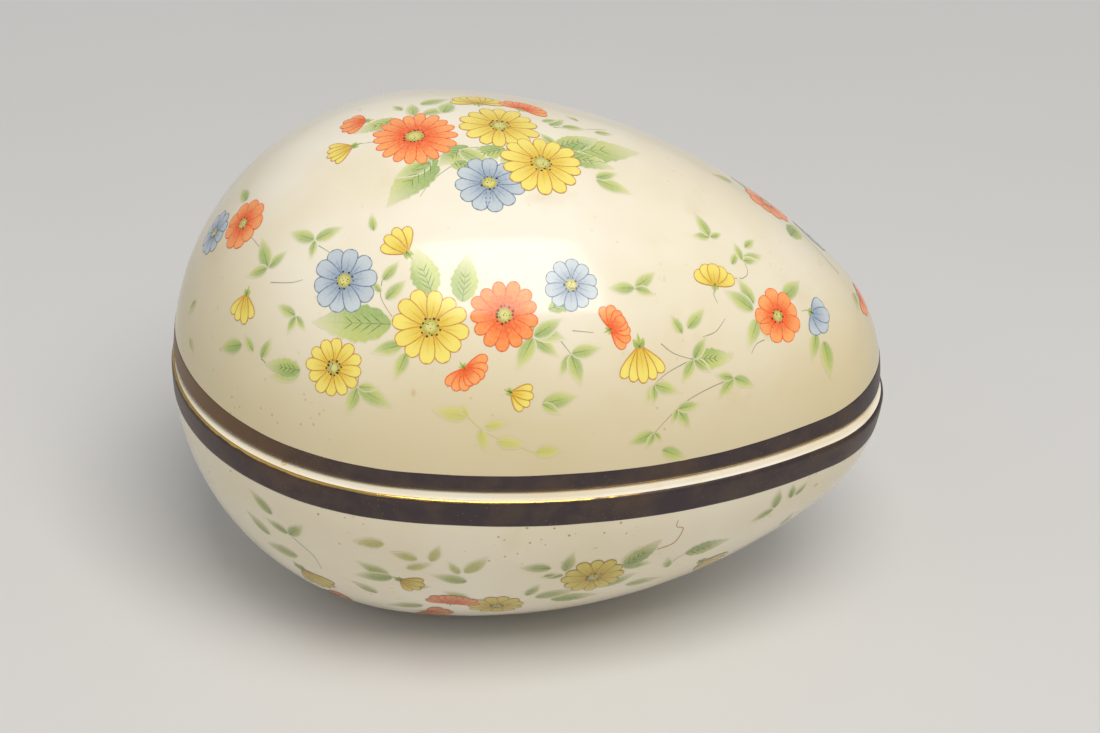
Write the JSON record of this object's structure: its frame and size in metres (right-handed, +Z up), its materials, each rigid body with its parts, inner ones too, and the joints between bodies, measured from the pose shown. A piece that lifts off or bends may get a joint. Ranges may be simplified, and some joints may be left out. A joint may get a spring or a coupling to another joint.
{
  "type": "trinket box",
  "caption": "Egg-shaped porcelain trinket box lying on its side: a hollow base on a flat foot and a lift-off domed lid, with gilt rims and printed flower sprays.",
  "frame": {"origin": "centre of the plan outline on the surface the foot ring stands on", "axes": "+X along the egg towards its narrow end, +Y to the back, +Z up through the lid"},
  "size_m": [0.09, 0.0668, 0.0638],
  "materials": {
    "glazed_porcelain": "glossy clear glaze over warm ivory body, unglazed at the foot ring",
    "gilding": "fired-on gold, tarnished brown-black, bright where the edges are rubbed"
  },
  "bodies": {
    "base": {"base_shell": "glazed_porcelain", "base_gilt_band": "gilding"},
    "lid": {"lid_shell": "glazed_porcelain", "lid_gilt_band": "gilding"}
  },
  "joints": [
    {"name": "lid_lift", "type": "slide", "parent": "base", "child": "lid", "axis": [0, 0, 1], "range_m": [0, 0.06]}
  ]
}
